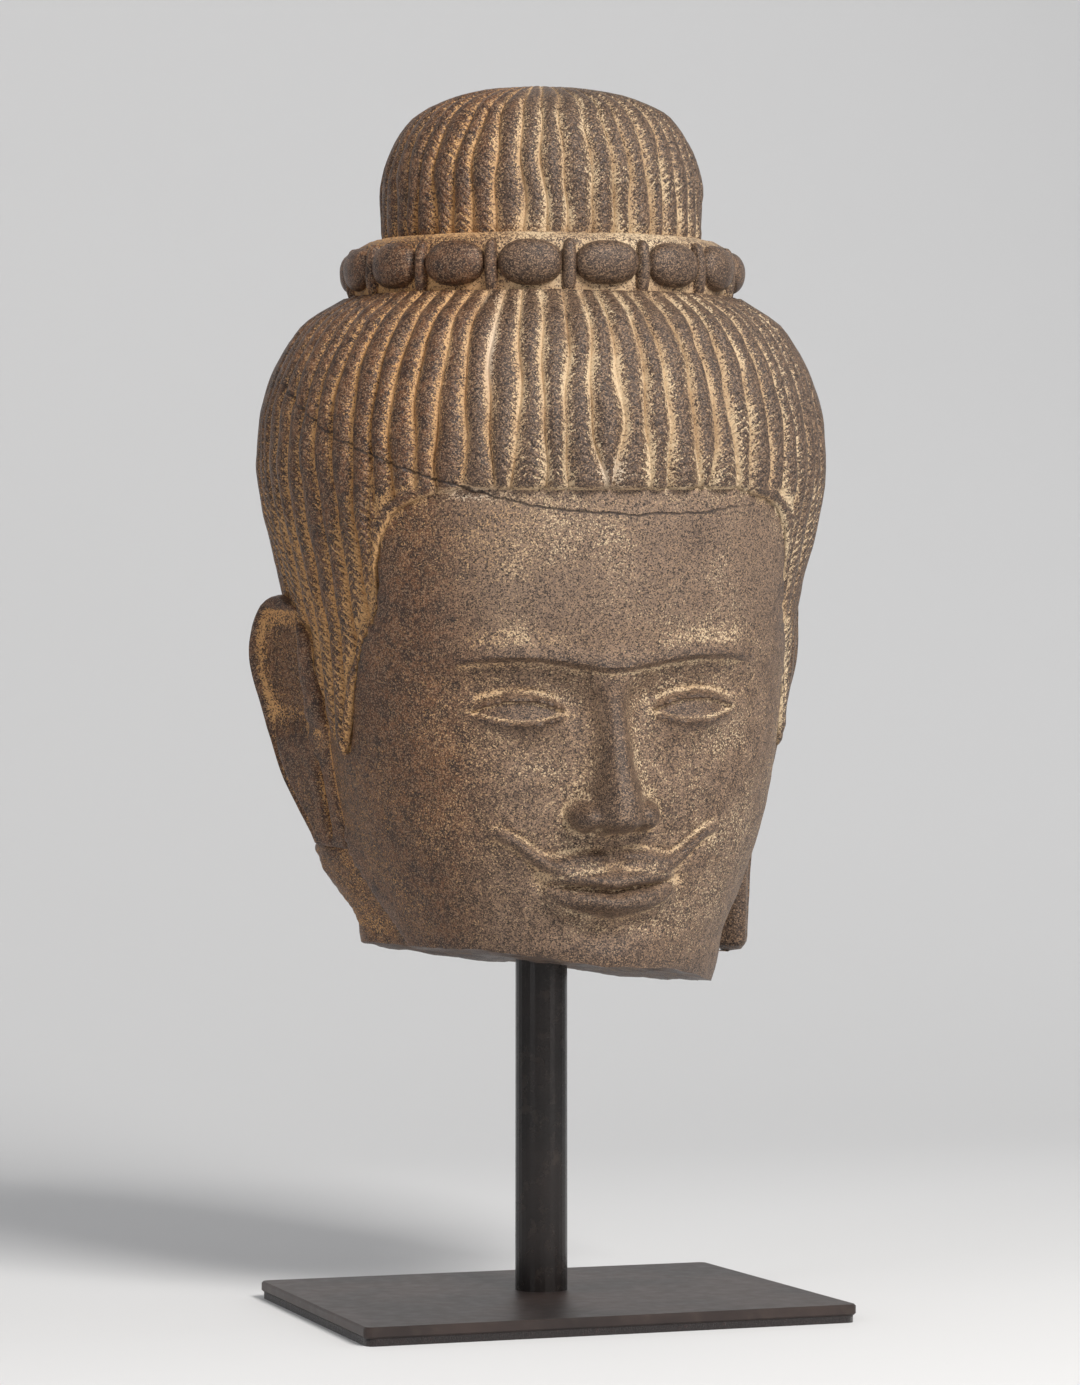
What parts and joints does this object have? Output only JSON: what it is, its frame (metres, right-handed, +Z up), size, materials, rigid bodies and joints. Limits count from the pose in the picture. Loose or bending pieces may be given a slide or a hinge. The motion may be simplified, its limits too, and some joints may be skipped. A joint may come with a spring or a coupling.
{
  "type": "shiva head sculpture",
  "caption": "Carved Khmer-style sandstone head of Shiva with ribbed hair, beaded band and bun, on a black steel post and rectangular base plate.",
  "frame": {"origin": "centre of the base's underside", "axes": "+Z up, the face looks along -Y, +X is the statue's left"},
  "size_m": [0.2852, 0.2883, 0.5955],
  "materials": {
    "sandstone": "matt, worn, with ochre dust in the cut lines",
    "patinated_steel": "satin black-brown patina",
    "felt": "black felt"
  },
  "bodies": {
    "root": {"stone_head": "sandstone", "stand_post": "patinated_steel", "stand_plate": "patinated_steel", "stand_felt_pad": "felt"}
  },
  "joints": []
}
